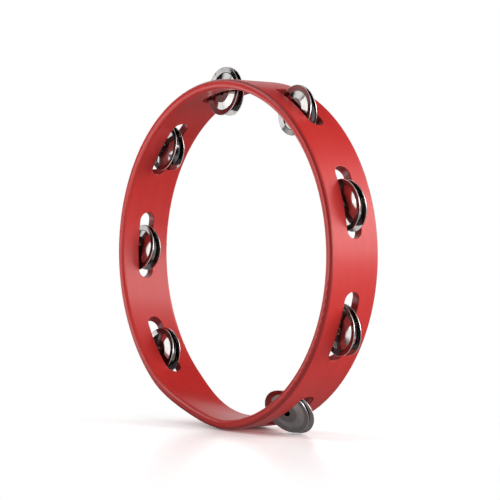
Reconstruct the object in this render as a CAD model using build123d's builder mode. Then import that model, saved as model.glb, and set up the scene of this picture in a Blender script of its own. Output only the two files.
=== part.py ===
from build123d import *
from math import cos, sin, radians
import os

# Tambourine: a wooden hoop with eight slots and a twisted grip, and a pair of loose jingles
# hanging on a pin in every slot. It stands on its edge: +Z is up, the hoop's axis lies along Y
# with the front towards -Y, and the origin is the point under the hoop's centre, at mid depth,
# on the ground that it stands on. Millimetres and degrees. Headings run round the hoop from its
# lowest point towards +X.

# Hoop
hoop_radius = 127.0  # 10 inch drum size
hoop_depth = 44.0
wall = 7.0
edge_round = 3.0

# Grip: a stretch without a slot where the wall twists, so that its front edge is pressed in and
# its back edge swells out. The swollen edge reaches a little lower than the round hoop
grip_heading = -18.4
grip_half_span = 22.0
grip_twist = 3.2
grip_points = 12
foot_drop = 0.76
hoop_centre = Vector(0, 0, hoop_radius + foot_drop)

# Slots: nine even places round the hoop, of which the grip takes one
places = 9
slots = places - 1
pitch = 360 / places
first_slot = 26.6
slot_length = 51.5
slot_width = 12.5
slot_edge_round = 0.6

# Pins: round nails driven in from the back edge, across the slot and into the front of the wood
pin_radius = 1.0
pin_track_radius = hoop_radius - wall / 2
pin_front = -17.0
pin_head_radius = 1.9
pin_head_thickness = 0.9
pin_fit = 0.02

# Jingles: pressed steel discs with a raised cup, a conical flange and a turned-up rim
jingle_radius = 18.0
jingle_hole_radius = 3.2
jingle_thickness = 0.6
cup_radius = 8.4
cup_drop = 0.15
valley_radius = 13.9
valley_drop = 1.65
rim_drop = 0.87
crease_radius = 1.6
hang_gap = 0.08

# How every jingle hangs at rest, by slot, front jingle then back jingle: the cup face's place
# along the pin, its lean (foot towards the front is positive) and its turn about the vertical
hanging = {
    2: ((-4.3, -1.4, -6.1), (3.6, -6.5, -6.9)),
    3: ((-4.3, -5.1, -3.4), (3.6, -8.8, -4.3)),
    4: ((-4.2, 5.7, -1.1), (3.6, -8.6, -4.2)),
    5: ((-3.9, 5.0, 0.0), (3.5, -4.3, -2.2)),
    6: ((-3.8, 7.7, -4.4), (3.7, -5.3, 0.7)),
    7: ((-4.0, 7.8, 1.5), (3.5, -4.1, 4.9)),
    8: ((-3.3, 10.4, 2.4), (4.5, 0.9, 4.6)),
}
# The ground keeps the lowest pair from hanging: both discs lie back together on their rims.
# Cup face's offset from the pin in X, Y and Z for the front and the back jingle
floored_slot = 1
floored_lean = -28.5
floored_turn = 14.7
floored_offsets = ((-0.3, -1.84, -1.35), (1.3, 2.94, -0.88))


def slot_heading(slot):
    return first_slot + (slot - 1) * pitch


def on_hoop(heading, radius, along=0.0):
    """The point at a heading round the hoop, a radius out from its centre."""
    angle = radians(heading)
    return hoop_centre + Vector(radius * sin(angle), along, -radius * cos(angle))


def slot_plane(slot):
    """Tangent plane at the pin, with the slot's length along its x and its normal outwards."""
    angle = radians(slot_heading(slot))
    return Plane(
        origin=on_hoop(slot_heading(slot), pin_track_radius),
        x_dir=(cos(angle), 0, sin(angle)),
        z_dir=(sin(angle), 0, -cos(angle)),
    )


def pin_plane(slot):
    """Plane on the hoop's back edge, centred on the pin and facing backwards."""
    origin = on_hoop(slot_heading(slot), pin_track_radius, hoop_depth / 2)
    return Plane(origin=origin, x_dir=(1, 0, 0), z_dir=(0, 1, 0))


def grip_outline(along):
    """The wall's outline round the grip, on the plane at one place along the hoop's axis."""
    swell = grip_twist * along / (hoop_depth / 2)
    curves = []
    for radius in (hoop_radius, hoop_radius - wall):
        points = []
        for step in range(grip_points + 1):
            place = 2 * step / grip_points - 1
            heading = grip_heading + grip_half_span * place
            points.append(on_hoop(heading, radius + swell * (1 - place**2) ** 2, along))
        ends = (grip_heading - grip_half_span, grip_heading + grip_half_span)
        tangents = [(cos(radians(end)), 0, sin(radians(end))) for end in ends]
        curves.append(Edge.make_spline(points, tangents))
    outer, inner = curves
    end_lines = [Edge.make_line(outer @ end, inner @ end) for end in (0, 1)]
    return Face(Wire([outer, end_lines[1], inner, end_lines[0]]))


def build_hoop():
    front_view = Plane(origin=hoop_centre, x_dir=(1, 0, 0), z_dir=(0, -1, 0))
    grip_reach = 2 * hoop_radius
    grip_ends = [
        (grip_reach * sin(radians(end)), -grip_reach * cos(radians(end)))
        for end in (grip_heading - grip_half_span, grip_heading + grip_half_span)
    ]
    slot_planes = [slot_plane(slot) for slot in range(1, slots + 1)]
    pin_planes = [pin_plane(slot) for slot in range(1, slots + 1)]
    with BuildPart() as hoop:
        with BuildSketch(front_view):
            Circle(hoop_radius)
            Circle(hoop_radius - wall, mode=Mode.SUBTRACT)
            Polygon((0, 0), *grip_ends, align=None, mode=Mode.SUBTRACT)
        extrude(amount=hoop_depth / 2, both=True)
        loft([grip_outline(-hoop_depth / 2), grip_outline(hoop_depth / 2)], ruled=True)
        rims = hoop.edges().group_by(Axis.Y)
        fillet(rims[0] + rims[-1], edge_round)
        with BuildSketch(*slot_planes):
            SlotOverall(slot_length, slot_width)
        extrude(amount=wall, both=True, mode=Mode.SUBTRACT)
        slot_outlines = hoop.edges(Select.LAST).filter_by(lambda edge: edge.length > 1.5 * wall)
        fillet(slot_outlines, slot_edge_round)
        with Locations(*pin_planes):
            CounterBoreHole(
                radius=pin_radius + pin_fit,
                counter_bore_radius=pin_head_radius + pin_fit,
                counter_bore_depth=pin_head_thickness + pin_fit,
                depth=hoop_depth / 2 - pin_front + pin_fit,
            )
    return hoop.part


def build_pin(slot):
    plane = pin_plane(slot)
    length = hoop_depth / 2 - pin_front
    top_view = Plane(origin=plane.origin, x_dir=plane.x_dir, z_dir=(0, 0, 1))
    with BuildPart() as pin:
        with BuildSketch(top_view):
            with BuildLine():
                Polyline(
                    (0, 0),
                    (pin_head_radius, 0),
                    (pin_head_radius, -pin_head_thickness),
                    (pin_radius, -pin_head_thickness),
                    (pin_radius, -length + 2 * pin_radius),
                    (0, -length),
                    close=True,
                )
            make_face()
        revolve(axis=Axis(plane.origin, plane.z_dir))
    return pin.part


def build_jingle(cup_centre, side, lean, turn):
    """A disc facing the front (side 1) or the back (side -1), pressed from one thickness."""
    across = Vector(1, 0, 0).rotate(Axis.Z, turn)
    foot_up = Vector(0, sin(radians(lean)), cos(radians(lean))).rotate(Axis.Z, turn)
    outward = across.cross(foot_up) * side
    half_thickness = jingle_thickness / 2
    section = Plane(origin=cup_centre, x_dir=across, z_dir=across.cross(outward))
    with BuildPart() as jingle:
        with BuildSketch(section):
            with BuildLine():
                FilletPolyline(
                    (jingle_hole_radius + half_thickness, 0),
                    (cup_radius, -cup_drop),
                    (valley_radius, -valley_drop),
                    (jingle_radius - half_thickness, -rim_drop),
                    radius=crease_radius,
                )
                offset(amount=half_thickness)
            make_face()
        revolve(axis=Axis(cup_centre, outward))
    return jingle.part


def hung_centre(slot, along, lean):
    """Where the cup face's centre comes to rest when the hole's top edge hangs on the pin."""
    tilt = radians(abs(lean))
    reach = jingle_hole_radius * cos(tilt) - jingle_thickness / 2 * sin(tilt)
    drop = reach - pin_radius - hang_gap
    return on_hoop(slot_heading(slot), pin_track_radius, along) - Vector(0, 0, drop)


def export(part, name):
    part.label = name
    export_step(part, f"parts/{name}.step")


def build_pair(slot):
    """The front and back jingle of a slot."""
    if slot == floored_slot:
        pin_centre = on_hoop(slot_heading(slot), pin_track_radius)
        centres = [pin_centre + Vector(*shift) for shift in floored_offsets]
        return [
            build_jingle(centre, side, floored_lean, floored_turn)
            for centre, side in zip(centres, (1, -1))
        ]
    return [
        build_jingle(hung_centre(slot, along, lean), side, lean, turn)
        for (along, lean, turn), side in zip(hanging[slot], (1, -1))
    ]


os.makedirs("parts", exist_ok=True)
export(build_hoop(), "hoop")
for slot in range(1, slots + 1):
    export(build_pin(slot), f"pin_{slot}")
    for jingle, place in zip(build_pair(slot), ("front", "back")):
        export(jingle, f"jingle_{slot}_{place}")
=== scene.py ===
"""Tambourine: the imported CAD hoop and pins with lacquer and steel, and finely turned jingles."""

from math import cos, pi, radians, sin, tan

import bmesh
import bpy
import numpy as np
from mathutils import Matrix, Vector


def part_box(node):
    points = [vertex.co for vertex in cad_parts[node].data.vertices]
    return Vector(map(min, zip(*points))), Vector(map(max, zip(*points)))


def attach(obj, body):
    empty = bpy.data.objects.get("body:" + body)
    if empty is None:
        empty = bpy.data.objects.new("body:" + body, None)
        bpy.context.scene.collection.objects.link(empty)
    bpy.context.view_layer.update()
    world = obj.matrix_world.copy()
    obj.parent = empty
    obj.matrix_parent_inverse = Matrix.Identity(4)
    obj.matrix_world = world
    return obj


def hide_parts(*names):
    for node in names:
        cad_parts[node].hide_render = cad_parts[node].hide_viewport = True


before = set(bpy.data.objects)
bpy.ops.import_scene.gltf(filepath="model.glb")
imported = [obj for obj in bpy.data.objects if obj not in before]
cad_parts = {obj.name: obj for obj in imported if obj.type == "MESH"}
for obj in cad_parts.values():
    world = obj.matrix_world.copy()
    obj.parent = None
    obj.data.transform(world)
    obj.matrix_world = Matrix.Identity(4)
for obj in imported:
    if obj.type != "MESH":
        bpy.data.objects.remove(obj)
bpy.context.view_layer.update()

scene = bpy.context.scene
scene.view_settings.view_transform = "Standard"
scene.view_settings.look = "None"

MM = 0.001
HOOP_RADIUS = 127 * MM
HOOP_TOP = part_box("hoop")[1].z
HOOP_CENTRE = Vector((0, 0, HOOP_TOP - HOOP_RADIUS))
SLOTS = range(1, 9)
# The side that a jingle's cup faces: 1 for the front (-Y), -1 for the back
SIDES = {"front": 1, "back": -1}


# ---------------------------------------------------------------- shader helpers


class Nodes:
    """A short way to write a node tree."""

    def __init__(self, tree):
        self.tree = tree
        tree.nodes.clear()

    def fill(self, socket, value):
        """Link an output to a socket, or set the socket to a constant."""
        if isinstance(value, bpy.types.NodeSocket):
            self.tree.links.new(value, socket)
        else:
            socket.default_value = value

    def add(self, kind, inputs=None, **settings):
        node = self.tree.nodes.new(kind)
        for name, value in settings.items():
            setattr(node, name, value)
        for key, value in (inputs or {}).items():
            self.fill(node.inputs[key], value)
        return node

    def math(self, operation, a, b=0.0):
        return self.add("ShaderNodeMath", {0: a, 1: b}, operation=operation).outputs[0]

    def plus(self, a, b):
        return self.math("ADD", a, b)

    def times(self, a, b):
        return self.math("MULTIPLY", a, b)

    def absolute(self, value):
        return self.math("ABSOLUTE", value)

    def length(self, a, b):
        """Length of the vector (a, b)."""
        return self.math("SQRT", self.plus(self.times(a, a), self.times(b, b)))

    def vector(self, operation, a, b=(0, 0, 0)):
        return self.add("ShaderNodeVectorMath", {0: a, 1: b}, operation=operation).outputs

    def remap(self, value, low, high, to_low=0.0, to_high=1.0):
        """A smooth step from to_low to to_high as the value goes from low to high."""
        node = self.add(
            "ShaderNodeMapRange",
            {"Value": value, "From Min": low, "From Max": high, "To Min": to_low, "To Max": to_high},
            interpolation_type="SMOOTHSTEP",
        )
        return node.outputs[0]

    def noise(self, vector, scale, detail=3.0, roughness=0.5, distortion=0.0):
        """Noise from 0 to 1, its scale in features per metre."""
        node = self.add(
            "ShaderNodeTexNoise",
            {"Vector": vector, "Scale": scale, "Detail": detail, "Roughness": roughness,
             "Distortion": distortion},
        )
        return node.outputs["Fac"]

    def mix(self, factor, a, b):
        """A colour that goes from a to b."""
        node = self.add("ShaderNodeMix", data_type="RGBA")
        factor_socket, a_socket, b_socket, colour_output = 0, 6, 7, 2
        for socket, value in ((factor_socket, factor), (a_socket, a), (b_socket, b)):
            self.fill(node.inputs[socket], value)
        return node.outputs[colour_output]

    def combine(self, x, y, z):
        return self.add("ShaderNodeCombineXYZ", {0: x, 1: y, 2: z}).outputs[0]

    def coordinate(self, kind="Object"):
        return self.add("ShaderNodeTexCoord").outputs[kind]

    def split(self, vector):
        return self.add("ShaderNodeSeparateXYZ", {0: vector}).outputs

    def bump(self, height, distance, strength):
        inputs = {"Height": height, "Distance": distance, "Strength": strength}
        return self.add("ShaderNodeBump", inputs).outputs[0]

    def surface(self, **inputs):
        """A Principled shader, its input names written with _ for a space, as the output."""
        named = {name.replace("_", " "): value for name, value in inputs.items()}
        self.output(self.add("ShaderNodeBsdfPrincipled", named).outputs[0])

    def mix_shader(self, factor, a, b):
        return self.add("ShaderNodeMixShader", {0: factor, 1: a, 2: b}).outputs[0]

    def output(self, shader, kind="ShaderNodeOutputMaterial"):
        self.add(kind, {"Surface": shader})


def new_material(name):
    material = bpy.data.materials.new(name)
    material.use_nodes = True
    return material, Nodes(material.node_tree)


# ---------------------------------------------------------------- materials

RED = (0.640, 0.028, 0.024, 1)
RED_GRAIN = (0.600, 0.023, 0.020, 1)
RED_CLOUD = (0.670, 0.032, 0.027, 1)
RED_PORE = (0.36, 0.012, 0.014, 1)
# Painted shade for the faces inside the jingle slots
RED_SLOT_SHADE = (0.17, 0.006, 0.010, 1)
# Painted shade for the rims' outer corners, standing in for a dark reflection there
RED_CORNER_SHADE = (0.15, 0.004, 0.008, 1)

NICKEL = (0.50, 0.485, 0.48, 1)
NICKEL_STAINED = (0.40, 0.385, 0.375, 1)
# Painted shade for the jingles' cups and brims
NICKEL_SHADE = (0.13, 0.115, 0.12, 1)
# Painted highlight for the jingles' rim edges
NICKEL_RIM_HIGHLIGHT = (0.85, 0.83, 0.82, 1)

WIRE = (0.50, 0.49, 0.48, 1)
WIRE_TARNISHED = (0.30, 0.27, 0.25, 1)


def lacquered_wood():
    """Satin red lacquer over a bent strip of wood: grain runs round the hoop."""
    material, n = new_material("red_lacquer")
    place = n.coordinate()
    x, y, height_up = n.split(place)
    z = n.math("SUBTRACT", height_up, HOOP_CENTRE.z)
    out = n.length(x, z)

    # The grain's noise is drawn out round the hoop and packed closer through the wall
    mid_wall, grain_stretch, layering = 123 * MM, 0.045, 1.6
    turn = n.math("ARCTAN2", x, n.times(z, -1.0))
    along = n.times(turn, mid_wall)
    grain_place = n.combine(n.times(along, grain_stretch), y, n.times(out, layering))
    coarse = n.noise(grain_place, 260.0, detail=4.0, roughness=0.6, distortion=0.35)
    fine = n.noise(grain_place, 1500.0, roughness=0.65)
    cloud = n.noise(place, 14.0)
    speck = n.noise(place, 900.0, detail=2.0)
    peel = n.noise(place, 210.0, detail=2.0, roughness=0.4)
    red = n.mix(n.remap(coarse, 0.35, 0.7), RED, RED_GRAIN)
    red = n.mix(n.remap(cloud, 0.3, 0.75, 0.0, 0.35), red, RED_CLOUD)
    red = n.mix(n.remap(fine, 0.64, 0.74, 0.0, 0.10), red, RED_PORE)

    # Painted shade on the cut faces inside the slots, which are made darker to stand in for the
    # shade there: they face along the hoop, not in or out, and lie near mid depth
    normal_x, normal_y, normal_z = n.split(n.coordinate("Normal"))
    outwards = n.plus(n.times(normal_x, x), n.times(normal_z, z))
    cut = n.remap(n.math("DIVIDE", n.absolute(outwards), out), 0.35, 0.65, 1.0, 0.0)
    near_slot = n.remap(n.absolute(y), 6.6 * MM, 7.4 * MM, 0.65, 0.0)
    red = n.mix(n.times(cut, near_slot), red, RED_SLOT_SHADE)

    # The rims: painted shade as a dark line on their outer corner, standing in for the dark
    # reflection there, and worn smoother where they face front or back
    forward = n.absolute(normal_y)
    corner = n.times(
        n.remap(forward, 0.18, 0.50, 0.0, 0.55), n.remap(forward, 0.80, 0.97, 1.0, 0.0)
    )
    outside = n.remap(n.math("DIVIDE", outwards, out), 0.05, 0.30)
    red = n.mix(n.times(corner, outside), red, RED_CORNER_SHADE)
    handled = n.remap(forward, 0.55, 0.85, 0.0, 0.16)

    roughness = n.plus(n.remap(cloud, 0.25, 0.75, 0.40, 0.48), n.times(speck, 0.06))
    height = n.plus(n.times(coarse, 0.14), n.plus(n.times(fine, 0.12), n.times(peel, 0.45)))
    n.surface(
        Base_Color=red,
        Roughness=n.math("SUBTRACT", roughness, handled),
        IOR=1.45,
        Coat_Weight=0.35,
        Coat_Roughness=0.24,
        Normal=n.bump(height, distance=0.08 * MM, strength=0.4),
    )
    return material


def jingle_nickel():
    """Bright nickel plate over pressed steel, spun marks round each disc's own axis."""
    material, n = new_material("bright_nickel")
    place = n.coordinate()
    x, y, z = n.split(place)
    radius = n.length(x, y)
    mark_stretch, scratch_stretch = 0.0006, 0.12
    spin_place = n.combine(radius, n.times(n.math("ARCTAN2", y, x), mark_stretch), 0.0)
    spin = n.noise(spin_place, 5200.0, roughness=0.6)
    stain = n.noise(place, 160.0, detail=4.0, roughness=0.6)
    scratch = n.noise(n.combine(n.times(x, scratch_stretch), y, z), 2600.0, detail=2.0)
    dent = n.noise(place, 150.0, detail=1.0, roughness=0.4)

    # Painted shade on the cup and the brim, made darker to stand in for the dark reflections they
    # show; a painted highlight on the edge
    colour = n.mix(n.remap(stain, 0.35, 0.75), NICKEL, NICKEL_STAINED)
    cup = n.remap(radius, 8.0 * MM, 9.2 * MM, 0.45, 0.0)
    brim = n.remap(radius, 13.2 * MM, 15.2 * MM, 0.0, 0.35)
    colour = n.mix(n.plus(cup, brim), colour, NICKEL_SHADE)
    # Painted highlight: the rim edge is made brighter and rougher to stand in for the bright line it
    # shows
    edge = n.remap(radius, 17.72 * MM, 17.86 * MM)
    colour = n.mix(edge, colour, NICKEL_RIM_HIGHLIGHT)

    roughness = n.plus(
        n.remap(stain, 0.35, 0.8, 0.07, 0.12), n.remap(scratch, 0.62, 0.72, 0.0, 0.08)
    )
    height = n.plus(n.times(spin, 0.06), dent)
    n.surface(
        Base_Color=colour,
        Metallic=1.0,
        Roughness=n.plus(roughness, n.times(edge, 0.2)),
        Normal=n.bump(height, distance=0.1 * MM, strength=0.45),
    )
    return material


def pin_steel():
    """Drawn wire nail: dull steel with lengthwise die marks and a little tarnish."""
    material, n = new_material("drawn_wire")
    place = n.coordinate()
    x, y, z = n.split(place)
    draw_stretch = 0.02
    marks = n.noise(n.combine(x, n.times(y, draw_stretch), z), 6000.0, roughness=0.6)
    tarnish = n.noise(place, 500.0, detail=4.0, roughness=0.6)
    n.surface(
        Base_Color=n.mix(n.remap(tarnish, 0.4, 0.7), WIRE, WIRE_TARNISHED),
        Metallic=1.0,
        Roughness=n.remap(tarnish, 0.3, 0.7, 0.28, 0.46),
        Normal=n.bump(marks, distance=0.04 * MM, strength=0.6),
    )
    return material


# ---------------------------------------------------------------- jingles

HALF_THICKNESS = 0.3 * MM
# Mid-line of the pressed sheet: radius and height outwards from the middle of the cup's face, at
# the hole, the cup's corner, the valley and the brim
MIDLINE = ((3.5 * MM, 0.0), (8.4 * MM, -0.15 * MM), (13.9 * MM, -1.65 * MM), (17.7 * MM, -0.87 * MM))
CREASE_RADIUS = 1.6 * MM
CREASE_STEPS = 10
LINE_STEP = 0.5 * MM
EDGE_STEPS = 10
AROUND = 192


def rounded(points, radius, steps):
    """A line of points with each inner corner turned to an arc."""
    line = [Vector(points[0])]
    for before, corner, after in zip(points, points[1:], points[2:]):
        a, b, c = Vector(before), Vector(corner), Vector(after)
        to_a, to_c = (a - b).normalized(), (c - b).normalized()
        half_angle = to_a.angle(to_c) / 2
        reach = radius / tan(half_angle)
        centre = b + (to_a + to_c).normalized() * radius / sin(half_angle)
        start = (b + to_a * reach - centre).normalized()
        end = (b + to_c * reach - centre).normalized()
        for i in range(steps + 1):
            line.append(centre + start.slerp(end, i / steps) * radius)
    line.append(Vector(points[-1]))
    return line


def densified(line, step):
    """The same line with no run longer than about a step."""
    points = [line[0]]
    for a, b in zip(line, line[1:]):
        count = max(1, round((b - a).length / step))
        points += [a.lerp(b, (i + 1) / count) for i in range(count)]
    return points


def cut_edge(centre, start, half, steps):
    """Half a turn round the end of a sheet: nearly square, its corners a little rounded."""
    side, out = start.normalized(), Vector((start.y, -start.x)).normalized()
    points = []
    for i in range(1, steps):
        turn = pi * i / steps
        across, forward = cos(turn), sin(turn)
        square = (across**4 + forward**4) ** -0.25
        points.append(centre + (side * across + out * forward) * square * half)
    return points


def sheet_outline(line, half):
    """Closed outline of a sheet of even thickness round a mid-line."""
    normals = []
    for i in range(len(line)):
        along = (line[min(i + 1, len(line) - 1)] - line[max(i - 1, 0)]).normalized()
        normals.append(Vector((-along.y, along.x)))
    upper = [p + n * half for p, n in zip(line, normals)]
    lower = [p - n * half for p, n in zip(line, normals)]
    outer = cut_edge(line[-1], normals[-1], half, EDGE_STEPS)
    inner = cut_edge(line[0], -normals[0], half, EDGE_STEPS)
    return upper + outer + lower[::-1] + inner


def disc_mesh(name):
    midline = densified(rounded(MIDLINE, CREASE_RADIUS, CREASE_STEPS), LINE_STEP)
    outline = sheet_outline(midline, HALF_THICKNESS)
    mesh = bpy.data.meshes.new(name)
    bm = bmesh.new()
    rings = []
    for i in range(AROUND):
        turn = 2 * pi * i / AROUND
        rings.append([bm.verts.new((p.x * cos(turn), p.x * sin(turn), p.y)) for p in outline])
    for i in range(AROUND):
        a, b = rings[i], rings[(i + 1) % AROUND]
        for j in range(len(outline)):
            k = (j + 1) % len(outline)
            bm.faces.new((a[j], a[k], b[k], b[j]))
    bmesh.ops.recalc_face_normals(bm, faces=bm.faces)
    bm.to_mesh(mesh)
    bm.free()
    mesh.polygons.foreach_set("use_smooth", [True] * len(mesh.polygons))
    return mesh


def disc_place(node, side):
    """Where a CAD jingle is: its frame has the cup face's middle at the origin and +Z outwards."""
    mesh = node.data
    count = len(mesh.polygons)
    areas, centres = np.zeros(count), np.zeros(count * 3)
    mesh.polygons.foreach_get("area", areas)
    mesh.polygons.foreach_get("center", centres)
    centres = centres.reshape(-1, 3)
    middle = (areas[:, None] * centres).sum(0) / areas.sum()
    spread = (centres - middle) * areas[:, None]
    _, directions = np.linalg.eigh(spread.T @ (centres - middle))
    axis = Vector(directions[:, 0])
    if axis.y * side > 0:
        axis.negate()
    points = np.zeros(len(mesh.vertices) * 3)
    mesh.vertices.foreach_get("co", points)
    top = (points.reshape(-1, 3) @ np.array(axis)).max() - HALF_THICKNESS
    origin = Vector(middle) + axis * (top - Vector(middle).dot(axis))
    across = Vector((0, 0, 1)).cross(axis).normalized()
    turned = Matrix((across, axis.cross(across), axis)).transposed().to_4x4()
    return Matrix.Translation(origin) @ turned


def add_jingle(slot, place, material):
    """A turned disc in the place of a CAD jingle, which it replaces and moves with."""
    name = f"jingle_{slot}_{place}"
    piece = bpy.data.objects.new(f"turned_{name}", disc_mesh(name))
    scene.collection.objects.link(piece)
    piece.matrix_world = disc_place(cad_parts[name], SIDES[place])
    piece.data.materials.append(material)
    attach(piece, name)
    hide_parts(name)


def dress(name, material):
    """Give a CAD node its material."""
    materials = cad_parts[name].data.materials
    materials.clear()
    materials.append(material)


nickel = jingle_nickel()
wire = pin_steel()
dress("hoop", lacquered_wood())
for slot in SLOTS:
    dress(f"pin_{slot}", wire)
    for place in SIDES:
        add_jingle(slot, place, nickel)


# ---------------------------------------------------------------- floor, light and camera

# Lengths are in metres and angles in degrees
WHITE = (1, 1, 1, 1)
FLOOR_REACH = 400.0

# The floor as the camera sees it: pale and a little glossy round the foot, plain white beyond
PALE_FLOOR = (2.0, 2.0, 2.0, 1)
FLOOR_GLOSS_SHARE = 0.38
FLOOR_GLOSS_ROUGHNESS = 0.21
FOOT = (0.06, -0.05, 0)
FADE_START, FADE_END = 0.10, 0.23

# The floor as other rays see it: grey, with pools of light that the jingles reflect. A pool has
# its azimuth, half its spread, the distance where it starts, and its brightness, which is full
# from a pool's edge further on
GREY_FLOOR = (0.38, 0.38, 0.38, 1)
POOLS = ((-24, 13, 0.10, 1.5), (-74, 19, 0.40, 1.3), (60, 35, -0.10, 0.13))
POOL_EDGE = 0.15

# A dim room with soft patches of light: azimuth, elevation and brightness. A patch is full within
# its core angle and fades out at its reach
ROOM_LIGHT = 0.02
PATCHES = (
    (154, 26, 2.0), (180, 6, 2.8), (231, 14, 0.8), (242, 48, 0.6), (257, 28, 1.6),
    (306, 38, 1.3), (320, 50, 1.6), (80, 50, 1.3), (0, 82, 0.6),
)
PATCH_CORE, PATCH_REACH = 9, 19

# Softboxes: name, azimuth, elevation, the width and height that each one fills, and radiance
SOFTBOX_DISTANCE = 2.2
SOFTBOXES = (
    ("front_box", -20, 14, 36, 36, 1.9),
    ("side_box", 92, 4, 36, 26, 6.0),
    ("back_box", 131, 14, 40, 30, 3.9),
)

# Camera: its place from the hoop's centre, and its right and backward directions
CAMERA_PLACE = Vector((0.9405, -0.7399, 0.0083))
CAMERA_RIGHT = Vector((0.62355, 0.78176, -0.00565))
CAMERA_BACK = Vector((0.78178, -0.62354, 0.0045))
CAMERA_LENS, CAMERA_SENSOR = 117.31, 36.0


def bearing(azimuth, elevation=0.0):
    """Unit vector: azimuth 0 is towards the front (-Y) and turns towards +X."""
    a, e = radians(azimuth), radians(elevation)
    return Vector((sin(a) * cos(e), -cos(a) * cos(e), sin(e)))


def within(n, way, direction, core, reach):
    """1 where a way lies within a core angle of a direction, fading to 0 at the reach."""
    ahead = n.vector("DOT_PRODUCT", way, direction)["Value"]
    return n.remap(ahead, cos(radians(reach)), cos(radians(core)))


def pale_floor():
    """Bright and a little glossy to the camera, and mid grey with pools of light to other rays."""
    material, n = new_material("pale_floor")
    place = n.coordinate()
    from_foot = n.vector("DISTANCE", place, FOOT)["Value"]
    diffuse = n.add("ShaderNodeBsdfDiffuse", {"Color": PALE_FLOOR})
    gloss = n.add(
        "ShaderNodeBsdfAnisotropic", {"Color": WHITE, "Roughness": FLOOR_GLOSS_ROUGHNESS}
    )
    near = n.mix_shader(FLOOR_GLOSS_SHARE, diffuse.outputs[0], gloss.outputs[0])
    far = n.add("ShaderNodeEmission", {"Color": WHITE, "Strength": 1.0})
    bright = n.mix_shader(n.remap(from_foot, FADE_START, FADE_END), near, far.outputs[0])

    grey = n.add("ShaderNodeBsdfDiffuse", {"Color": GREY_FLOOR})
    distance = n.vector("LENGTH", place)["Value"]
    way = n.vector("NORMALIZE", place)["Vector"]
    light = 0.0
    for azimuth, half_spread, start, brightness in POOLS:
        across = within(n, way, bearing(azimuth), half_spread, 2 * half_spread)
        outwards = n.remap(distance, start, start + POOL_EDGE, to_high=brightness)
        light = n.plus(light, n.times(across, outwards))
    glow = n.add("ShaderNodeEmission", {"Color": WHITE, "Strength": light})
    lit = n.add("ShaderNodeAddShader", {0: grey.outputs[0], 1: glow.outputs[0]})
    seen = n.add("ShaderNodeLightPath").outputs["Is Camera Ray"]
    n.output(n.mix_shader(seen, lit.outputs[0], bright))
    return material


def add_floor():
    mesh = bpy.data.meshes.new("floor")
    signs = ((-1, -1), (1, -1), (1, 1), (-1, 1))
    corners = [(x * FLOOR_REACH, y * FLOOR_REACH, 0) for x, y in signs]
    mesh.from_pydata(corners, [], [(0, 1, 2, 3)])
    mesh.materials.append(pale_floor())
    floor = bpy.data.objects.new("floor", mesh)
    scene.collection.objects.link(floor)


def add_world():
    """White where the camera looks past the hoop; a dim room with patches of light elsewhere."""
    world = bpy.data.worlds.new("studio")
    scene.world = world
    world.use_nodes = True
    n = Nodes(world.node_tree)
    way = n.coordinate("Generated")
    light = ROOM_LIGHT
    for azimuth, elevation, brightness in PATCHES:
        direction = bearing(azimuth, elevation)
        patch = within(n, way, direction, PATCH_CORE, PATCH_REACH)
        light = n.plus(light, n.times(patch, brightness))
    seen = n.add("ShaderNodeLightPath").outputs["Is Camera Ray"]
    strength = n.plus(light, n.times(seen, n.math("SUBTRACT", 1.0, light)))
    background = n.add("ShaderNodeBackground", {"Color": WHITE, "Strength": strength})
    n.output(background.outputs[0], "ShaderNodeOutputWorld")


def add_softbox(name, azimuth, elevation, width, height, radiance):
    """A rectangular light facing the hoop, its width and height given as angles it fills."""
    light = bpy.data.lights.new(name, "AREA")
    light.shape = "RECTANGLE"
    light.size = 2 * SOFTBOX_DISTANCE * tan(radians(width / 2))
    light.size_y = 2 * SOFTBOX_DISTANCE * tan(radians(height / 2))
    light.energy = pi * light.size * light.size_y * radiance
    box = bpy.data.objects.new(name, light)
    scene.collection.objects.link(box)
    way = bearing(azimuth, elevation)
    box.location = HOOP_CENTRE + way * SOFTBOX_DISTANCE
    box.rotation_mode = "QUATERNION"
    box.rotation_quaternion = way.to_track_quat("Z", "Y")


def add_camera():
    data = bpy.data.cameras.new("camera")
    data.lens, data.sensor_width = CAMERA_LENS, CAMERA_SENSOR
    data.clip_start, data.clip_end = 0.05, 1000.0
    camera = bpy.data.objects.new("camera", data)
    scene.collection.objects.link(camera)
    right = CAMERA_RIGHT.normalized()
    back = (CAMERA_BACK - right * CAMERA_BACK.dot(right)).normalized()
    turned = Matrix((right, back.cross(right), back)).transposed().to_4x4()
    camera.matrix_world = Matrix.Translation(HOOP_CENTRE + CAMERA_PLACE) @ turned
    scene.camera = camera


add_floor()
add_world()
for softbox in SOFTBOXES:
    add_softbox(*softbox)
add_camera()
